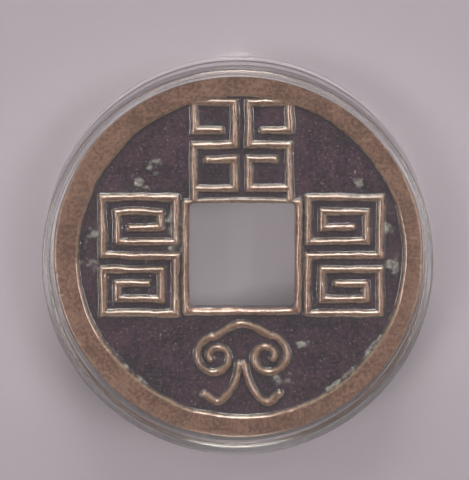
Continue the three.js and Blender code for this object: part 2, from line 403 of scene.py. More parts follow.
@dataclass
class Ornament:
    """The raised fret and cloud lines of the coin's front, about the coin's centre."""

    rim_radius: float
    rim_shift: Pair
    hole: Hole
    stroke: float = 0.52
    pitch: float = 0.95
    corner: float = 0.1
    top_width: float = 6.8
    top_rim_gap: float = 0.1
    side_height: float = 8.3
    side_frame_gap: float = 0.1
    side_rim_gap: float = 1.25
    cloud_frame_gap: float = 0.35
    crown_rise: float = 0.75
    shoulder_out: float = 0.45  # a share of the curls' spacing
    shoulder_drop: float = 0.3  # a share of the crown's rise
    curl_radius: float = 1.45
    curl_eye: float = 0.4
    curl_turns: float = 1.3
    curl_spacing: float = 1.72
    tail_rim_gap: float = 0.55
    tail_start: float = 0.35  # below the curls' middle, a share of their radius
    tail_root: float = 0.3  # from the cloud's middle, a share of the stroke
    tail_spread: float = 2.5
    tail_waist: float = 0.2  # a share of the spread, as the heel's
    tail_heel: float = 0.6
    tail_hook: float = 0.6
    heel_lift: float = 0.1  # a share of the hook
    curl_steps: int = 30
    head_steps: int = 3
    tail_steps: int = 6

    def square_spiral(self, width: float, height: float) -> Points:
        """Wind a square line inwards, clockwise from the lower left corner.

        Args:
            width: The spiral's width between lines.
            height: Its height.

        Returns:
            The line's corners.
        """
        corners = [(0.0, 0.0)]
        left, right, bottom, top = 0.0, width, 0.0, height
        while right - left > self.pitch and top - bottom > self.pitch:
            corners += [(left, top), (right, top)]
            bottom += self.pitch
            corners.append((right, bottom))
            left += self.pitch
            corners.append((left, bottom))
            right -= self.pitch
            top -= self.pitch
        return np.array(corners)

    def double_fret(self, centre: Pair, width: float, height: float, side: int) -> Points:
        """Lay out an S-shaped fret of two square spirals.

        Args:
            centre: The fret's middle.
            width: Its width between lines.
            height: Its height between lines.
            side: 1, or -1 for the mirror image.

        Returns:
            The line's corners.
        """
        half = self.square_spiral(width, height / 2) - np.array([width / 2, 0.0])
        whole = np.vstack([half[::-1], -half])
        return whole * np.array([side, 1.0]) + np.array(centre)

    def top_frets(self) -> list[Points]:
        """Lay out the two frets above the hole, whose outer lines stand on the frame.

        Returns:
            The corners of each line.
        """
        frame_top = self.hole.shift[1] + self.hole.height / 2 + self.hole.frame_top
        bottom = frame_top + self.pitch - self.stroke / 2
        top = self.rim_shift[1] + self.rim_radius - self.top_rim_gap - self.stroke / 2
        width = (self.top_width - self.stroke - self.pitch) / 2
        lines = []
        for side in (-1, 1):
            middle = self.hole.shift[0] + side * (width + self.pitch) / 2
            outer = middle + side * width / 2
            lines.append(self.double_fret((middle, (bottom + top) / 2), width, top - bottom, side))
            lines.append(np.array([(outer, bottom), (outer, bottom - self.pitch)]))
        return lines

    def side_frets(self) -> list[Points]:
        """Lay out the frets left and right of the hole.

        Returns:
            The corners of each line.
        """
        frame = self.hole.width / 2 + self.hole.frame_side
        from_hole = frame + self.side_frame_gap + self.stroke / 2
        from_rim = self.rim_radius - self.side_rim_gap - self.stroke / 2
        height = self.side_height - self.stroke
        lines = []
        for side in (-1, 1):
            inner = self.hole.shift[0] + side * from_hole
            outer = self.rim_shift[0] + side * from_rim
            centre = ((inner + outer) / 2, self.hole.shift[1])
            lines.append(self.double_fret(centre, abs(outer - inner), height, -side))
        return lines

    def cloud(self) -> list[Points]:
        """Lay out the cloud scroll below the hole: its crown and curls, and two tails.

        Returns:
            The points of each line.
        """
        frame = self.hole.height / 2 + self.hole.frame_bottom
        crown_top = self.hole.shift[1] - (frame + self.cloud_frame_gap + self.stroke / 2)
        curl_height = crown_top - self.crown_rise - self.curl_radius
        share = np.linspace(0.0, 1.0, self.curl_steps + 1)
        angle = math.pi / 2 - share * self.curl_turns * math.tau
        radius = self.curl_radius + (self.curl_eye - self.curl_radius) * share
        curl_x = self.curl_spacing + radius * np.cos(angle)
        curl = np.column_stack([curl_x, curl_height + radius * np.sin(angle)])
        mirrored = curl[::-1] * np.array([-1.0, 1.0])
        out = self.shoulder_out * self.curl_spacing
        down = crown_top - self.shoulder_drop * self.crown_rise
        crown = np.array([(-out, down), (0.0, crown_top), (out, down)])
        middle = np.array([self.hole.shift[0], 0.0])
        lines = [smooth_curve(np.vstack([mirrored, crown, curl]), self.head_steps) + middle]
        top = curl_height - self.tail_start * self.curl_radius
        bottom = self.rim_shift[1] - self.rim_radius + self.tail_rim_gap + self.stroke / 2
        knots = [
            (self.tail_root * self.stroke, top),
            (self.tail_waist * self.tail_spread, (top + bottom) / 2),
            (self.tail_heel * self.tail_spread, bottom + self.heel_lift * self.tail_hook),
            (self.tail_spread, bottom + self.tail_hook),
        ]
        tail = smooth_curve(np.array(knots), self.tail_steps)
        lines += [tail * np.array([side, 1.0]) + middle for side in (-1, 1)]
        return lines

    def distance(self, x: Points, y: Points) -> Points:
        """Distance to the edge of the nearest raised line, negative on the line.

        Args:
            x: Places across the coin.
            y: Places up the coin.

        Returns:
            The distances.
        """
        nearest = np.full_like(x, np.inf)
        for line in self.top_frets() + self.side_frets():
            for start, end in zip(line[:-1], line[1:]):
                middle = (start + end) / 2
                half = (np.abs(end - start) + self.stroke) / 2
                bar = block_distance(x - middle[0], y - middle[1], half[0], half[1], self.corner)
                nearest = np.minimum(nearest, bar)
        for line in self.cloud():
            nearest = np.minimum(nearest, line_distance(x, y, line) - self.stroke / 2)
        return nearest


@dataclass(frozen=True)
class Crust:
    """Where pale crust lies on the front's field: in spots, and in arcs along the rim."""

    spots: tuple[tuple[float, float, float], ...] = (  # across, up and size
        (-9.6, 1.4, 1.0),
        (-9.9, -0.4, 0.9),
        (-4.2, 2.1, 1.0),
        (-4.1, 0.4, 0.8),
        (-6.6, 4.9, 1.0),
        (-5.6, 6.1, 0.7),
        (10.1, -0.6, 1.1),
        (9.8, 1.9, 0.7),
        (4.4, 3.0, 0.7),
        (2.8, -8.3, 0.9),
        (4.3, -6.0, 0.6),
        (8.0, 4.9, 0.5),
    )
    arcs: tuple[Pair, ...] = ((-64.0, -24.0), (-152.0, -118.0))  # from and to, in degrees
    spot_radius: float = 0.55
    arc_fade: float = 8.0
    arc_strength: float = 0.9
    arc_gap: float = 0.1
    arc_width: float = 0.22
    strength: float = 0.72
    breaks: Lumps = Lumps(0.6, 0.5, 47, 3)
    span: Pair = (0.48, 0.85)
    line_fade: float = 0.12

    def at(self, x: Points, y: Points, away: Points, rim: Points) -> Points:
        """Say how much crust lies at some places.

        Args:
            x: Places across the coin.
            y: Places up the coin.
            away: Distance to the nearest raised line.
            rim: Distance to the outer rim.

        Returns:
            Numbers from 0 to 1.
        """
        amount = np.zeros_like(x)
        for spot_x, spot_y, size in self.spots:
            reach = 2 * (self.spot_radius * size) ** 2
            amount += np.exp(-((x - spot_x) ** 2 + (y - spot_y) ** 2) / reach)
        angle = np.degrees(np.arctan2(y, x))
        for start, end in self.arcs:
            span = smooth_step(angle, start, start + self.arc_fade)
            span *= 1.0 - smooth_step(angle, end - self.arc_fade, end)
            beside = np.exp(-(((rim - self.arc_gap) / self.arc_width) ** 2))
            amount += self.arc_strength * span * beside
        whole = np.minimum(amount, 1.0) * self.strength
        patch = smooth_step(whole + self.breaks.at(x, y), *self.span)
        return patch * np.exp(-np.maximum(-away, 0.0) / self.line_fade)


@dataclass
class Coin:
    """The cast coin: one closed mesh of front, side, back and hole."""

    centre: Pair
    seat: float
    radius: float
    thickness: float
    hole: Hole = Hole()
    crust: Crust = Crust()
    front_relief: float = 0.35
    back_relief: float = 0.25
    front_rim: float = 1.55
    back_rim: float = 1.9
    back_frame: float = 0.6
    rim_shift: Pair = (0.19, -0.05)
    edge_round: float = 0.16
    side_bulge: float = 2.2  # how soon the side reaches its full radius
    hole_round: float = 0.3
    hole_drop: float = 0.24
    shoulder: float = 0.26
    foot: float = 0.03
    # a lighter band just inside each raised line's edge: rubbed wear and a painted highlight
    rub_and_highlight_inset: float = 0.09
    rub_and_highlight_width: float = 0.07
    # how far the dark band at the lines' feet reaches: dirt and painted shade
    dirt_and_shade_reach: float = 0.16
    crust_off_lines: float = 0.6
    # the coin's side takes half of that lighter band: rubbed wear and a painted highlight
    side_rubbed_and_highlight: float = 0.5
    wall_raised: float = 0.35
    edge_wear: Lumps = Lumps(0.03, 1.6, 41)
    edge_wear_circle: float = 8.0  # the circle on which the wear's noise is read
    hole_wear: Lumps = Lumps(0.03, 0.7, 43)
    front_bend: Bend = Bend(
        across=(Lumps(0.055, 1.7, 11), Lumps(0.01375, 0.5, 12)),
        up=(Lumps(0.055, 1.7, 13), Lumps(0.01375, 0.5, 14)),
    )
    back_bend: Bend = Bend(across=(Lumps(0.055, 1.9, 51),), up=(Lumps(0.055, 1.9, 53),))
    line_waver: Lumps = Lumps(0.035, 0.8, 15)
    line_wear: Lumps = Lumps(0.1, 2.6, 17)  # a share of the relief
    field_grain: Lumps = Lumps(0.045, 0.8, 19, 4)
    field_pits: Patches = Patches(0.03, 0.33, 23, span=(0.55, 0.95))
    crust_lumps: Lumps = Lumps(0.021, 0.22, 29)
    top_grain: Lumps = Lumps(0.014, 0.5, 31, 3)
    top_pits: Patches = Patches(0.03, 0.28, 37, span=(0.7, 0.95))
    back_grain: Lumps = Lumps(0.045, 0.8, 57, 4)
    back_top: float = 0.012
    back_top_grain: Lumps = Lumps(0.01, 0.6, 59, 3)
    back_crust: Patches = Patches(1.0, 1.4, 61, 3, span=(0.25, 0.6))
    around: int = 840
    front_rings: int = 150
    side_rings: int = 9
    back_rings: int = 44
    wall_rings: int = 5
    march_start: float = 0.5
    march_steps: int = 30
    march_share: float = 0.7

    def outline(self) -> tuple[Points, Points]:
        """Place the hole's edge and the coin's edge at the same angles.

        Returns:
            The hole's points and the rim's points, one a row.
        """
        angle = np.linspace(0.0, math.tau, self.around, endpoint=False)
        ray = np.column_stack([np.cos(angle), np.sin(angle)])
        half = (self.hole.width / 2, self.hole.height / 2)
        reach = np.full(self.around, self.march_start)
        for _ in range(self.march_steps):
            spot = ray * reach[:, None]
            reach -= self.march_share * block_distance(*spot.T, *half, self.hole.corner)
        hole = ray * reach[:, None] + np.array(self.hole.shift)
        worn = self.edge_wear.at(*(self.edge_wear_circle * ray).T) - self.edge_wear.height
        rim = ray * (self.radius + worn)[:, None]
        nibble = self.hole_wear.at(*hole.T)
        return hole + ray * nibble[:, None], rim

    def rim_distance(self, x: Points, y: Points, width: float) -> Points:
        """Distance to the inner edge of a rim of some width, negative on the rim."""
        return self.radius - width - np.hypot(x - self.rim_shift[0], y - self.rim_shift[1])

    def raise_from(self, away: Points) -> Points:
        """Round a raised line up, from 0 at its foot to 1 on top."""
        share = np.clip((self.foot - away) / (self.foot + self.shoulder), 0.0, 1.0)
        return 1.0 - (1.0 - share) ** 2

    def edge_drop(self, x: Points, y: Points) -> Points:
        """Say how far the coin's worn outer edge rounds down.

        Args:
            x: Places across the coin.
            y: Places up the coin.

        Returns:
            The drop.
        """
        start = self.radius - self.edge_wear.height - self.edge_round
        past = np.maximum(np.hypot(x, y) - start, 0.0)
        return self.edge_round - np.sqrt(np.maximum(self.edge_round**2 - past**2, 0.0))

    def masks(self, away: Points, raised: Points, crust: Points) -> Masks:
        """Work out the masks of the finish.

        Args:
            away: Distance to the edge of the nearest raised line, negative on it.
            raised: How far the surface is raised, from 0 to 1.
            crust: How much crust lies on it.

        Returns:
            The masks.
        """
        return {
            Mask.RAISED: raised,
            # lighter band along the raised lines' edges: partly rubbed wear, partly a painted highlight
            Mask.EDGE: np.exp(-(((away + self.rub_and_highlight_inset) / self.rub_and_highlight_width) ** 2)),
            # dark band on the field next to every raised line: partly dirt, partly painted shade
            Mask.HOLLOW: np.exp(-np.maximum(away, 0.0) / self.dirt_and_shade_reach) * (1.0 - raised),
            Mask.CRUST: crust,
        }

    def front(self, x: Points, y: Points) -> tuple[Points, Masks]:
        """Shape the front face.

        Args:
            x: Places across the coin.
            y: Places up the coin.

        Returns:
            Its height over the coin's seat, and the masks of its finish.
        """
        hole = self.hole
        ornament = Ornament(self.radius - self.front_rim, self.rim_shift, hole)
        bent = self.front_bend.at(x, y)
        rim = self.rim_distance(*bent, self.front_rim)
        frame = hole.frame_distance(*bent, hole.frame_side, hole.frame_top, hole.frame_bottom)
        lines = ornament.distance(*bent) + self.line_waver.at(x, y)
        away = np.minimum(np.minimum(rim, frame), lines)
        raised = self.raise_from(away)
        crust = self.crust.at(x, y, away, rim)
        low = self.thickness - self.front_relief + self.field_grain.at(x, y)
        low += crust * (self.crust_lumps.height + self.crust_lumps.at(x, y)) - self.field_pits.at(x, y)
        worn = np.where(rim < 0.0, 0.0, self.line_wear.height + self.line_wear.at(x, y))
        top = self.thickness - self.top_grain.height - worn * self.front_relief
        top += self.top_grain.at(x, y) - self.top_pits.at(x, y)
        height = low + (top - low) * raised
        into_hole = np.clip(1.0 - hole.distance(*bent) / self.hole_round, 0.0, 1.0)
        height -= self.hole_drop * into_hole**2 + self.edge_drop(x, y)
        crust = crust * (1.0 - self.crust_off_lines * raised)
        return np.minimum(height, self.thickness), self.masks(away, raised, crust)

    def back(self, x: Points, y: Points) -> tuple[Points, Masks]:
        """Shape the back face.

        Args:
            x: Places across the coin.
            y: Places up the coin.

        Returns:
            Its height over the coin's seat, and the masks of its finish.
        """
        bent = self.back_bend.at(x, y)
        frame = self.hole.frame_distance(*bent, self.back_frame, self.back_frame, self.back_frame)
        away = np.minimum(self.rim_distance(*bent, self.back_rim), frame)
        raised = self.raise_from(away)
        low = self.back_relief + self.back_grain.at(x, y)
        top = self.back_top + self.back_top_grain.at(x, y)
        height = low + (top - low) * raised + self.edge_drop(x, y)
        crust = self.back_crust.at(x, y) * (1.0 - raised)
        return np.maximum(height, 0.0), self.masks(away, raised, crust)

    def face_rings(
        self,
        shape: Callable[[Points, Points], tuple[Points, Masks]],
        hole: Points,
        rim: Points,
        shares: Points,
    ) -> tuple[list[Points], list[Masks]]:
        """Lay the rings of a face.

        Args:
            shape: What gives the face's height and masks.
            hole: The hole's edge.
            rim: The coin's edge.
            shares: Where each ring lies, from 0 at the hole to 1 at the rim.

        Returns:
            Each ring's points and masks.
        """
        inset = 1.0 - self.edge_round / self.radius
        rings = []
        masks = []
        for share in shares:
            spot = hole + (rim * inset - hole) * share
            height, mask = shape(*spot.T)
            rings.append(np.column_stack([spot, height]))
            masks.append(mask)
        return rings, masks

    def side(self, rim: Points, top: Points, bottom: Points) -> list[Points]:
        """Lay the rings of the coin's side.

        Args:
            rim: The coin's edge.
            top: The height of the front's last ring.
            bottom: The height of the back's first ring.

        Returns:
            Each ring's points, from the front to the back.
        """
        rings = []
        for share in np.linspace(0.0, 1.0, self.side_rings + 2)[1:-1]:
            angle = math.pi * (0.5 - share)
            bulge = min(1.0, math.cos(angle) * self.side_bulge) ** 0.5
            reach = 1.0 - (1.0 - bulge) * self.edge_round / self.radius
            height = top + (bottom - top) * (0.5 - 0.5 * math.sin(angle))
            rings.append(np.column_stack([rim * reach, height]))
        return rings

    def wall(self, hole: Points, bottom: Points, top: Points) -> list[Points]:
        """Lay the rings of the hole's wall, from the back to the front."""
        shares = np.linspace(0.0, 1.0, self.wall_rings + 2)[1:-1]
        return [np.column_stack([hole, bottom + (top - bottom) * share]) for share in shares]

    def even(self, raised: float, edge: float) -> Masks:
        """Masks of a ring that looks the same all round."""
        values = {Mask.RAISED: raised, Mask.EDGE: edge, Mask.HOLLOW: 0.0, Mask.CRUST: 0.0}
        return {mask: np.full(self.around, value) for mask, value in values.items()}

    def build(self, face: bpy.types.Material, reverse: bpy.types.Material) -> bpy.types.Object:
        """Make the coin's mesh.

        Args:
            face: The finish of the front and the side.
            reverse: The finish of the back and the hole's wall.

        Returns:
            The coin.
        """
        hole, rim = self.outline()
        outwards = np.linspace(0.0, 1.0, self.front_rings)
        inwards = np.linspace(1.0, 0.0, self.back_rings)
        front, front_masks = self.face_rings(self.front, hole, rim, outwards)
        back, back_masks = self.face_rings(self.back, hole, rim, inwards)
        side = self.side(rim, front[-1][:, 2], back[0][:, 2])
        wall = self.wall(hole, back[-1][:, 2], front[0][:, 2])
        rings = front + side + back + wall
        masks = front_masks + [self.even(1.0, self.side_rubbed_and_highlight)] * self.side_rings
        masks += back_masks + [self.even(self.wall_raised, 0.0)] * self.wall_rings
        LOG.info("coin has %d rings of %d points", len(rings), self.around)
        vertices = np.vstack(rings) + np.array([*self.centre, self.seat])
        coin = ring_mesh("cash_coin", vertices * MM, len(rings), self.around)
        for mask in Mask:
            layer = coin.data.attributes.new(mask.value, "FLOAT", "POINT")
            values = np.concatenate([ring_masks[mask] for ring_masks in masks])
            layer.data.foreach_set("value", values.astype(np.float32))
        coin.data.materials.append(face)
        coin.data.materials.append(reverse)
        which = np.zeros((len(rings), self.around), dtype=np.int32)
        which[len(front) + len(side) :] = 1
        coin.data.polygons.foreach_set("material_index", which.ravel())
        return coin


# Capsule


@dataclass
class Capsule:
    """The two clear shells, turned from their wall sections."""

    radius: float
    height: float
    coin_radius: float
    coin_seat: float
    coin_thickness: float
    well_clearance: float = 0.1
    headroom: float = 0.3
    window: float = 0.6
    foot: float = 1.75
    spigot_wall: float = 0.22
    lap_gap: float = 0.04
    foot_wall: float = 3.0
    parting_gap: float = 0.03
    spigot_head_gap: float = 0.08
    lead_in: float = 0.1
    edge: float = 0.16
    inner_edge: float = 0.07
    gate_width: float = 1.45
    gate_stand: float = 0.22
    gate_root: float = 0.02
    gate_height: float = 0.75
    gate_lift: float = 0.25
    around: int = 360
    round_steps: int = 6
    round_turn: float = 90.0
    sharp_from: float = 35.0

    def arc(self, radius: float, height: float, size: float, start: float) -> Profile:
        """Round a corner of a section by a quarter turn.

        Args:
            radius: The radius at which the round's centre lies.
            height: The height of its centre.
            size: The round's own radius.
            start: The angle at which it starts, in degrees.

        Returns:
            The round's points.
        """
        turns = [self.round_turn * i / self.round_steps for i in range(self.round_steps + 1)]
        angles = [math.radians(start + turn) for turn in turns]
        return [(radius + size * math.cos(a), height + size * math.sin(a)) for a in angles]

    @property
    def well(self) -> float:
        """The radius of the well that holds the coin."""
        return self.coin_radius + self.well_clearance

    @property
    def spigot(self) -> float:
        """The outer radius of the spigot."""
        return self.well + self.spigot_wall

    @property
    def lid_window(self) -> float:
        """The height of the upper window's underside."""
        return self.coin_seat + self.coin_thickness + self.headroom

    def base_section(self) -> Profile:
        """Draw the lower shell's section, anticlockwise from the axis back to it.

        Returns:
            The section's points.
        """
        floor = self.foot + self.window
        top = self.lid_window - self.spigot_head_gap
        inner = self.inner_edge
        return [
            (0.0, self.foot),
            (self.well, self.foot),
            *self.arc(self.well + inner, inner, inner, 180.0),
            *self.arc(self.radius - self.edge, self.edge, self.edge, -90.0),
            *self.arc(self.radius - inner, self.foot_wall - inner, inner, 0.0),
            (self.spigot, self.foot_wall),
            (self.spigot, top - self.lead_in),
            (self.spigot - self.lead_in, top),
            (self.well, top),
            (self.well, floor),
            (0.0, floor),
        ]

    def lid_section(self) -> Profile:
        """Draw the upper shell's section, anticlockwise from the axis back to it.

        Returns:
            The section's points.
        """
        skirt = self.spigot + self.lap_gap
        inner = self.inner_edge
        low = self.foot_wall + self.parting_gap
        return [
            (0.0, self.lid_window),
            (skirt, self.lid_window),
            (skirt, low),
            *self.arc(self.radius - inner, low + inner, inner, -90.0),
            *self.arc(self.radius - self.edge, self.height - self.edge, self.edge, 0.0),
            *self.arc(self.well + inner, self.height - inner, inner, 90.0),
            (self.well, self.lid_window + self.window),
            (0.0, self.lid_window + self.window),
        ]

    def turned(self, name: str, section: Profile) -> bpy.types.Object:
        """Turn a section about the capsule's axis.

        Args:
            name: The shell's name.
            section: Its section, from the axis back to it.

        Returns:
            The shell.
        """
        angle = np.linspace(0.0, math.tau, self.around, endpoint=False)
        vertices = [(0.0, 0.0, section[0][1])]
        for radius, height in section[1:-1]:
            vertices += [(radius * math.cos(a), radius * math.sin(a), height) for a in angle]
        vertices.append((0.0, 0.0, section[-1][1]))
        last = len(vertices) - 1
        rings = len(section) - 2
        faces = []
        for i in range(self.around):
            j = (i + 1) % self.around
            faces.append((0, 1 + j, 1 + i))
            for ring in range(rings - 1):
                low = 1 + ring * self.around
                high = low + self.around
                faces.append((low + i, low + j, high + j, high + i))
            low = 1 + (rings - 1) * self.around
            faces.append((low + i, low + j, last))
        mesh = bpy.data.meshes.new(name)
        mesh.from_pydata([Vector(v) * MM for v in vertices], [], faces)
        mesh.shade_smooth()
        mesh.set_sharp_from_angle(angle=math.radians(self.sharp_from))
        return add_object(name, mesh)

    def gate(self) -> bpy.types.Object:
        """Make the stub left on the lower shell where the moulding was cut from its runner.

        Returns:
            The stub.
        """
        depth = self.gate_stand + self.gate_root
        out = self.radius + self.gate_stand - depth / 2
        centre = Vector((0.0, out, self.gate_lift + self.gate_height / 2))
        half = Vector((self.gate_width / 2, depth / 2, self.gate_height / 2))
        signs = [(x, y, z) for x in (-1, 1) for y in (-1, 1) for z in (-1, 1)]
        corners = [(centre + half * Vector(sign)) * MM for sign in signs]
        faces = [(0, 1, 3, 2), (4, 6, 7, 5), (0, 4, 5, 1), (2, 3, 7, 6), (0, 2, 6, 4), (1, 5, 7, 3)]
        mesh = bpy.data.meshes.new("gate_stub")
        mesh.from_pydata(corners, [], faces)
        return add_object("gate_stub", mesh)


# Shader helpers


@dataclass(frozen=True)
class Grain:
    """A noise texture: the size of its lumps, how many finer layers it has and how strong they are."""

    size: float
    detail: float
    roughness: float


class Graph:
    """A node tree whose nodes are laid out from left to right."""

    column_width = 180.0
    row_height = 300.0
    rows = 3

    def __init__(self, tree: bpy.types.NodeTree) -> None:
        """Take the tree to build in."""
        self.tree = tree
        self.column = 0

    def add(self, kind: str, **settings: object) -> bpy.types.Node:
        """Add a node.

        Args:
            kind: The node's type.
            settings: Its properties.

        Returns:
            The node.
        """
        node = self.tree.nodes.new(kind)
        row = self.column % self.rows
        node.location = (self.column_width * self.column, -self.row_height * row)
        self.column += 1
        for name, value in settings.items():
            setattr(node, name, value)
        return node

    def feed(self, target: Socket, value: object) -> None:
        """Join a socket to another, or set it to a value.

        Args:
            target: The socket.
            value: Another socket, a number, a vector, or a colour without its alpha.
        """
        if isinstance(value, Socket):
            self.tree.links.new(value, target)
        elif target.type == "RGBA":
            target.default_value = (*value, 1.0)
        else:
            target.default_value = value

    def fill(self, node: bpy.types.Node, values: dict[str, object]) -> None:
        """Feed several inputs of a node by their names."""
        for name, value in values.items():
            self.feed(node.inputs[name], value)

    def place(self) -> Socket:
        """Read where a point lies on its object."""
        return self.add("ShaderNodeTexCoord").outputs["Object"]

    def maths(self, operation: str, first: object, second: object, clamp: bool = False) -> Socket:
        """Work out one operation on two values.

        Args:
            operation: Which operation.
            first: A value or a socket.
            second: A value or a socket.
            clamp: Whether to keep the result from 0 to 1.

        Returns:
            The result.
        """
        node = self.add("ShaderNodeMath", operation=operation, use_clamp=clamp)
        self.feed(node.inputs[0], first)
        self.feed(node.inputs[1], second)
        return node.outputs[0]

    def between(self, kind: MixKind, share: object, first: object, second: object) -> Socket:
        """Mix two colours or two values.

        Args:
            kind: Which of them.
            share: How much of the second.
            first: A value or a socket.
            second: A value or a socket.

        Returns:
            The mixture.
        """
        data_type, first_input, second_input, output = kind.value
        node = self.add("ShaderNodeMix", data_type=data_type)
        self.feed(node.inputs[0], share)
        self.feed(node.inputs[first_input], first)
        self.feed(node.inputs[second_input], second)
        return node.outputs[output]

    def mix(self, share: object, first: object, second: object) -> Socket:
        """Mix two colours."""
        return self.between(MixKind.COLOUR, share, first, second)

    def blend(self, share: object, first: object, second: object) -> Socket:
        """Mix two values."""
        return self.between(MixKind.VALUE, share, first, second)

    def step(self, value: object, low: float, high: float) -> Socket:
        """Rise smoothly from 0 to 1.

        Args:
            value: A value or a socket.
            low: Where the rise starts.
            high: Where it ends.

        Returns:
            The result.
        """
        node = self.add("ShaderNodeMapRange", interpolation_type="SMOOTHSTEP")
        self.fill(node, {"Value": value, "From Min": low, "From Max": high})
        return node.outputs["Result"]

    def grains(self, place: Socket, grain: Grain) -> Socket:
        """Add noise.

        Args:
            place: Where to read it.
            grain: Its lumps.

        Returns:
            Numbers from 0 to 1.
        """
        node = self.add("ShaderNodeTexNoise")
        scale = 1.0 / (grain.size * MM)
        self.fill(node, {"Vector": place, "Scale": scale})
        self.fill(node, {"Detail": grain.detail, "Roughness": grain.roughness})
        return node.outputs["Fac"]


def new_group(
    name: str, inputs: dict[str, SocketKind], outputs: dict[str, SocketKind]
) -> tuple[bpy.types.NodeTree, Graph]:
    """Start a shader node group.

    Args:
        name: The group's name.
        inputs: The type of each input by name.
        outputs: The type of each output by name.

    Returns:
        The group and the graph to build it with.
    """
    tree = bpy.data.node_groups.new(name, "ShaderNodeTree")
    for direction, sockets in (("INPUT", inputs), ("OUTPUT", outputs)):
        for socket, kind in sockets.items():
            tree.interface.new_socket(name=socket, in_out=direction, socket_type=kind.value)
    return tree, Graph(tree)


def new_material(name: str) -> tuple[bpy.types.Material, Graph, bpy.types.Node]:
    """Start a material.

    Args:
        name: The material's name.

    Returns:
        The material, the graph to build it with and its Principled shader.
    """
    material = bpy.data.materials.new(name)
    material.use_nodes = True
    return material, Graph(material.node_tree), material.node_tree.nodes["Principled BSDF"]


# Shared effects


@dataclass(frozen=True)
class Mottle:
    """Mottling: a colour that wanders between two others, with specks of a third."""

    broad: Grain = Grain(1.6, 4.0, 0.65)
    fine: Grain = Grain(0.24, 3.0, 0.6)
    speck: Grain = Grain(0.13, 1.0, 0.4)
    broad_share: float = 0.45
    fine_share: float = 0.55
    mottle_span: Pair = (0.38, 0.62)
    speck_span: Pair = (0.64, 0.74)
    speck_height: float = 0.5

    def build(self) -> bpy.types.NodeTree:
        """Make the node group.

        Returns:
            The group.
        """
        colour, value = SocketKind.COLOUR, SocketKind.VALUE
        tree, graph = new_group(
            "Mottle",
            {"Colour": colour, "Other": colour, "Speck": colour, "Specks": value},
            {"Colour": colour, "Height": value},
        )
        given = graph.add("NodeGroupInput").outputs
        place = graph.place()
        broad = graph.grains(place, self.broad)
        fine = graph.grains(place, self.fine)
        speck = graph.grains(place, self.speck)
        broad_part = graph.maths("MULTIPLY", broad, self.broad_share)
        fine_part = graph.maths("MULTIPLY", fine, self.fine_share)
        share = graph.step(graph.maths("ADD", broad_part, fine_part), *self.mottle_span)
        dots = graph.maths("MULTIPLY", graph.step(speck, *self.speck_span), given["Specks"])
        mottled = graph.mix(share, given["Colour"], given["Other"])
        dotted = graph.mix(dots, mottled, given["Speck"])
        speck_part = graph.maths("MULTIPLY", speck, self.speck_height)
        height = graph.maths("ADD", fine, speck_part)
        graph.fill(graph.add("NodeGroupOutput"), {"Colour": dotted, "Height": height})
        return tree


@dataclass(frozen=True)
class Patina:
    """Patina: dirt and painted shade in the hollows, rubbed edges with a painted highlight, and pale
    crust, over a colour and its roughness.
    """

    broken: Grain = Grain(0.4, 4.0, 0.7)
    edge_span: Pair = (0.3, 0.65)
    crust_span: Pair = (0.25, 0.7)
    dirt_and_shade_strength: float = 0.85
    rubbed_and_highlight_strength: float = 0.6
    hollow_roughness: float = 0.75
    rubbed_roughness: float = 0.3
    crust_roughness: float = 0.85

    def build(self) -> bpy.types.NodeTree:
        """Make the node group.

        Returns:
            The group.
        """
        colour, value = SocketKind.COLOUR, SocketKind.VALUE
        outputs = {"Colour": colour, "Roughness": value, "Metallic": value}
        colours = {name: colour for name in ("Dirt And Shade", "Rubbed And Highlight", "Crust")}
        masks = {name: value for name in ("Hollow Mask", "Edge Mask", "Crust Mask")}
        tree, graph = new_group("Patina", {**outputs, **colours, **masks}, outputs)
        given = graph.add("NodeGroupInput").outputs
        hollow = given["Hollow Mask"]
        broken = graph.grains(graph.place(), self.broken)
        edge_breaks = graph.step(broken, *self.edge_span)
        edge = graph.maths("MULTIPLY", given["Edge Mask"], edge_breaks, clamp=True)
        crust_breaks = graph.step(broken, *self.crust_span)
        crust = graph.maths("MULTIPLY", given["Crust Mask"], crust_breaks, clamp=True)
        # the hollows darken towards the dark colour: dirt and painted shade
        dirt_and_shade = graph.maths("MULTIPLY", hollow, self.dirt_and_shade_strength)
        # the edges lighten towards the rubbed colour: wear and a painted highlight
        rubbed_and_highlight = graph.maths("MULTIPLY", edge, self.rubbed_and_highlight_strength)
        shade = graph.mix(dirt_and_shade, given["Colour"], given["Dirt And Shade"])
        shade = graph.mix(rubbed_and_highlight, shade, given["Rubbed And Highlight"])
        shade = graph.mix(crust, shade, given["Crust"])
        rough = graph.blend(hollow, given["Roughness"], self.hollow_roughness)
        rough = graph.blend(edge, rough, self.rubbed_roughness)
        rough = graph.blend(crust, rough, self.crust_roughness)
        metal = graph.blend(graph.maths("MAXIMUM", crust, hollow), given["Metallic"], 0.0)
        end = graph.add("NodeGroupOutput")
        graph.fill(end, {"Colour": shade, "Roughness": rough, "Metallic": metal})
        return tree


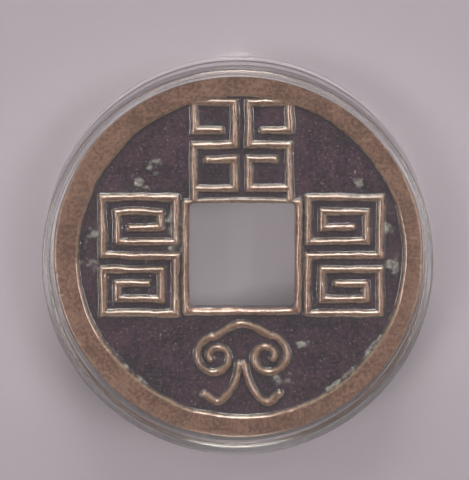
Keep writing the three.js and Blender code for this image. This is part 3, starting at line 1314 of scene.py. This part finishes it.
@dataclass(frozen=True)
class Scuffs:
    """Scuffs: fine scratches and handling haze on clear plastic."""

    cloud: Grain = Grain(5.0, 3.0, 0.6)
    scratch: Grain = Grain(9.0, 2.0, 0.5)
    cloud_span: Pair = (0.4, 0.75)
    scratch_span: Pair = (0.66, 0.7)
    scratch_turn: tuple[float, float, float] = (0.0, 0.0, 0.6)
    scratch_squeeze: tuple[float, float, float] = (1.0, 30.0, 30.0)

    def build(self) -> bpy.types.NodeTree:
        """Make the node group.

        Returns:
            The group.
        """
        value = SocketKind.VALUE
        tree, graph = new_group("Scuffs", {"Least Roughness": value, "Haze": value}, {"Roughness": value})
        given = graph.add("NodeGroupInput").outputs
        place = graph.place()
        cloud = graph.step(graph.grains(place, self.cloud), *self.cloud_span)
        lengthwise = graph.add("ShaderNodeMapping")
        graph.fill(lengthwise, {"Vector": place, "Rotation": self.scratch_turn})
        graph.fill(lengthwise, {"Scale": self.scratch_squeeze})
        lines = graph.grains(lengthwise.outputs["Vector"], self.scratch)
        scratch = graph.step(lines, *self.scratch_span)
        haze = graph.maths("MULTIPLY", graph.maths("ADD", cloud, scratch), given["Haze"])
        rough = graph.maths("ADD", haze, given["Least Roughness"], clamp=True)
        graph.fill(graph.add("NodeGroupOutput"), {"Roughness": rough})
        return tree


@dataclass
class Effects:
    """The node groups that more than one material uses, each built once."""

    mottle: bpy.types.NodeTree
    patina: bpy.types.NodeTree
    scuffs: bpy.types.NodeTree


# Materials


@dataclass(frozen=True)
class Bronze:
    """Worn brown bronze with a dark mottled field."""

    name: str
    field_dark: Colour = (0.011, 0.005, 0.009)
    field_light: Colour = (0.052, 0.021, 0.034)
    field_speck: Colour = (0.24, 0.21, 0.20)
    raised_dark: Colour = (0.115, 0.060, 0.044)
    raised_light: Colour = (0.235, 0.135, 0.096)
    raised_speck: Colour = (0.07, 0.038, 0.032)
    # dark colour at the feet of the raised lines, all round: partly dirt, partly painted shade in place
    # of their shadows
    dirt_and_shade: Colour = (0.008, 0.005, 0.008)
    # lighter colour just inside the edges of the raised lines: partly rubbed metal, partly a painted
    # highlight
    rubbed_and_highlight: Colour = (0.38, 0.27, 0.18)
    crust: Colour = (0.27, 0.27, 0.23)
    specks: float = 0.5
    raised_span: Pair = (0.35, 0.85)
    field_roughness: float = 0.55
    raised_roughness: float = 0.4
    field_metallic: float = 0.3
    raised_metallic: float = 0.55
    coat: float = 1.0
    coat_roughness: float = 0.12
    coat_ior: float = 1.8
    bump: float = 0.7
    bump_height: float = 0.03

    def build(self, effects: Effects) -> bpy.types.Material:
        """Make the material.

        Args:
            effects: The shared node groups.

        Returns:
            The bronze.
        """
        material, graph, shader = new_material(self.name)
        masks = {mask: self.mask(graph, mask) for mask in Mask}
        ground = self.mottled(graph, effects, self.field_light, self.field_dark, self.field_speck)
        lines = self.mottled(graph, effects, self.raised_light, self.raised_dark, self.raised_speck)
        raised = graph.step(masks[Mask.RAISED], *self.raised_span)
        patina = graph.add("ShaderNodeGroup", node_tree=effects.patina)
        worn = {
            "Colour": graph.mix(raised, ground["Colour"], lines["Colour"]),
            "Roughness": graph.blend(raised, self.field_roughness, self.raised_roughness),
            "Metallic": graph.blend(raised, self.field_metallic, self.raised_metallic),
            "Dirt And Shade": self.dirt_and_shade,
            "Rubbed And Highlight": self.rubbed_and_highlight,
            "Crust": self.crust,
            "Hollow Mask": masks[Mask.HOLLOW],
            "Edge Mask": masks[Mask.EDGE],
            "Crust Mask": masks[Mask.CRUST],
        }
        graph.fill(patina, worn)
        bump = graph.add("ShaderNodeBump")
        depth = self.bump_height * MM
        graph.fill(bump, {"Strength": self.bump, "Distance": depth, "Height": ground["Height"]})
        finish = {
            "Base Color": patina.outputs["Colour"],
            "Roughness": patina.outputs["Roughness"],
            "Metallic": patina.outputs["Metallic"],
            "Coat Weight": self.coat,
            "Coat Roughness": self.coat_roughness,
            "Coat IOR": self.coat_ior,
            "Normal": bump.outputs["Normal"],
        }
        graph.fill(shader, finish)
        return material

    def mask(self, graph: Graph, mask: Mask) -> Socket:
        """Read one of the coin's point attributes."""
        return graph.add("ShaderNodeAttribute", attribute_name=mask.value).outputs["Fac"]

    def mottled(
        self, graph: Graph, effects: Effects, light: Colour, dark: Colour, speck: Colour
    ) -> bpy.types.NodeOutputs:
        """Place the mottling with its own colours.

        Args:
            graph: The material's graph.
            effects: The shared node groups.
            light: The lighter colour.
            dark: The darker colour.
            speck: The colour of the specks.

        Returns:
            The mottling's outputs.
        """
        node = graph.add("ShaderNodeGroup", node_tree=effects.mottle)
        graph.fill(node, {"Colour": light, "Other": dark, "Speck": speck, "Specks": self.specks})
        return node.outputs


@dataclass(frozen=True)
class ClearPlastic:
    """Clear moulded plastic that lets the lamps through to what it covers."""

    name: str
    wall_radius: float
    wall_fade: Pair = (-0.1, 0.02)
    tint: Colour = (0.985, 0.99, 0.985)
    roughness: float = 0.015
    wall_roughness: float = 0.14
    haze: float = 0.03
    ior: float = 1.49

    def build(self, effects: Effects) -> bpy.types.Material:
        """Make the material.

        Args:
            effects: The shared node groups.

        Returns:
            The plastic.
        """
        material, graph, shader = new_material(self.name)
        flat = graph.add("ShaderNodeVectorMath", operation="MULTIPLY")
        graph.feed(flat.inputs[0], graph.place())
        graph.feed(flat.inputs[1], (1.0, 1.0, 0.0))
        radius = graph.add("ShaderNodeVectorMath", operation="LENGTH")
        graph.feed(radius.inputs[0], flat.outputs["Vector"])
        start, end = ((self.wall_radius + fade) * MM for fade in self.wall_fade)
        wall = graph.step(radius.outputs["Value"], start, end)
        least = graph.blend(wall, self.roughness, self.wall_roughness)
        scuffs = graph.add("ShaderNodeGroup", node_tree=effects.scuffs)
        graph.fill(scuffs, {"Least Roughness": least, "Haze": self.haze})
        finish = {
            "Base Color": self.tint,
            "Transmission Weight": 1.0,
            "IOR": self.ior,
            "Roughness": scuffs.outputs["Roughness"],
        }
        graph.fill(shader, finish)
        path = graph.add("ShaderNodeLightPath")
        through = graph.add("ShaderNodeBsdfTransparent")
        graph.fill(through, {"Color": self.tint})
        mix = graph.add("ShaderNodeMixShader")
        graph.feed(mix.inputs[0], path.outputs["Is Shadow Ray"])
        graph.feed(mix.inputs[1], shader.outputs["BSDF"])
        graph.feed(mix.inputs[2], through.outputs["BSDF"])
        end_node = material.node_tree.nodes["Material Output"]
        graph.fill(end_node, {"Surface": mix.outputs["Shader"]})
        return material


# Studio


@dataclass(frozen=True)
class Lamp:
    """A square soft lamp aimed at the capsule's foot.

    Its level is the share of full white that it gives a white card facing it there.
    """

    name: str
    azimuth: float
    elevation: float
    distance: float
    size: float
    level: float
    colour: Colour

    def build(self) -> None:
        """Place the lamp."""
        turn = math.radians(self.azimuth)
        rise = math.radians(self.elevation)
        flat = math.cos(rise)
        away = Vector((flat * math.sin(turn), flat * math.cos(turn), math.sin(rise)))
        data = bpy.data.lights.new(self.name, "AREA")
        data.size = self.size
        data.color = self.colour
        data.energy = self.level * (math.pi * self.distance) ** 2
        lamp = add_object(self.name, data)
        lamp.location = away * self.distance
        lamp.rotation_euler = (-away).to_track_quat("-Z", "Y").to_euler()


@dataclass
class Studio:
    """Floor, lamps, world and camera."""

    coin_centre: Pair
    coin_top: float
    coin_radius: float
    tilt: float = 10.0
    distance: float = 330.0
    clip_start: float = 0.01
    frame_width_px: float = 469.0
    frame_height_px: float = 480.0
    coin_radius_px: float = 185.3
    coin_centre_px: Pair = (238.6, 256.3)
    floor_reach: float = 1.5
    floor_colour: Colour = (0.46, 0.41, 0.45)
    floor_roughness: float = 0.9
    world_colour: Colour = (0.93, 0.92, 1.0)
    world_level: float = 0.15
    lamps: tuple[Lamp, ...] = (
        Lamp("key_above", 0.0, 21.0, 0.36, 0.17, 0.85, (1.0, 1.0, 0.96)),
        Lamp("fill_left", -100.0, 46.0, 0.42, 0.16, 0.32, (1.0, 0.95, 0.92)),
        Lamp("fill_right", 84.0, 44.0, 0.42, 0.16, 0.34, (1.0, 0.97, 0.95)),
        Lamp("low_front", 180.0, 9.0, 0.34, 0.08, 0.08, (1.0, 0.93, 0.82)),
    )

    def build(self) -> None:
        """Place everything."""
        self.floor()
        for lamp in self.lamps:
            lamp.build()
        world = bpy.data.worlds.new("studio_world")
        world.use_nodes = True
        background = world.node_tree.nodes["Background"]
        settings = {"Color": self.world_colour, "Strength": self.world_level}
        Graph(world.node_tree).fill(background, settings)
        bpy.context.scene.world = world
        self.camera()

    def floor(self) -> None:
        """Lay the plain floor."""
        signs = ((-1, -1), (1, -1), (1, 1), (-1, 1))
        corners = [(x * self.floor_reach, y * self.floor_reach, 0.0) for x, y in signs]
        mesh = bpy.data.meshes.new("studio_floor")
        mesh.from_pydata(corners, [], [(0, 1, 2, 3)])
        floor = add_object("studio_floor", mesh)
        paper, graph, shader = new_material("studio_paper")
        graph.fill(shader, {"Base Color": self.floor_colour, "Roughness": self.floor_roughness})
        mesh.materials.append(paper)
        floor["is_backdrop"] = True

    def camera(self) -> None:
        """Set the camera at the photograph's angle, with the coin's top up in the picture."""
        tilt = math.radians(self.tilt)
        back = Vector((0.0, math.sin(tilt), math.cos(tilt)))
        up = Vector((0.0, math.cos(tilt), -math.sin(tilt)))
        right = up.cross(back)
        scale = self.coin_radius / self.coin_radius_px
        across = (self.frame_width_px / 2 - self.coin_centre_px[0]) * scale
        rise = (self.coin_centre_px[1] - self.frame_height_px / 2) * scale
        middle = Vector((*self.coin_centre, self.coin_top)) + right * across + up * rise
        data = bpy.data.cameras.new("camera")
        data.sensor_fit = "HORIZONTAL"
        data.lens = data.sensor_width * self.distance / (self.frame_width_px * scale)
        data.clip_start = self.clip_start
        camera = add_object("camera", data)
        turn = Matrix((right, up, back)).transposed().to_4x4()
        camera.matrix_world = Matrix.Translation((middle + back * self.distance) * MM) @ turn
        bpy.context.scene.camera = camera


def main() -> None:
    """Load the frame, build each piece around it and light the whole."""
    logging.basicConfig(level=logging.INFO, format="%(name)s: %(message)s")
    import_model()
    effects = Effects(Mottle().build(), Patina().build(), Scuffs().build())

    low, high = (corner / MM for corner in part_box("coin"))
    coin = Coin(
        centre=((low.x + high.x) / 2, (low.y + high.y) / 2),
        seat=low.z,
        radius=(high.x - low.x) / 2,
        thickness=high.z - low.z,
    )
    piece = coin.build(Bronze("bronze_face").build(effects), Bronze("bronze_reverse").build(effects))
    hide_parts("coin")
    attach(piece, "coin")
    LOG.info("%s made", piece.name)

    base_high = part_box("capsule_base")[1] / MM
    lid_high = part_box("capsule_lid")[1] / MM
    capsule = Capsule(
        radius=base_high.x,
        height=lid_high.z,
        coin_radius=coin.radius,
        coin_seat=coin.seat,
        coin_thickness=coin.thickness,
    )
    shells = {
        "capsule_base": (capsule.turned("clear_base", capsule.base_section()), "base"),
        "capsule_lid": (capsule.turned("clear_lid", capsule.lid_section()), "lid"),
    }
    stub = capsule.gate()
    for node, (shell, body) in shells.items():
        shell.data.materials.append(ClearPlastic(f"{shell.name}_plastic", capsule.well).build(effects))
        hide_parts(node)
        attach(shell, body)
        LOG.info("%s made", shell.name)
    stub.data.materials.append(bpy.data.materials["clear_base_plastic"])
    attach(stub, "base")
    LOG.info("%s made", stub.name)

    Studio(coin.centre, coin.seat + coin.thickness, coin.radius).build()
    bpy.context.scene.view_settings.view_transform = "Standard"
    low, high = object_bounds()


if __name__ == "__main__":
    main()
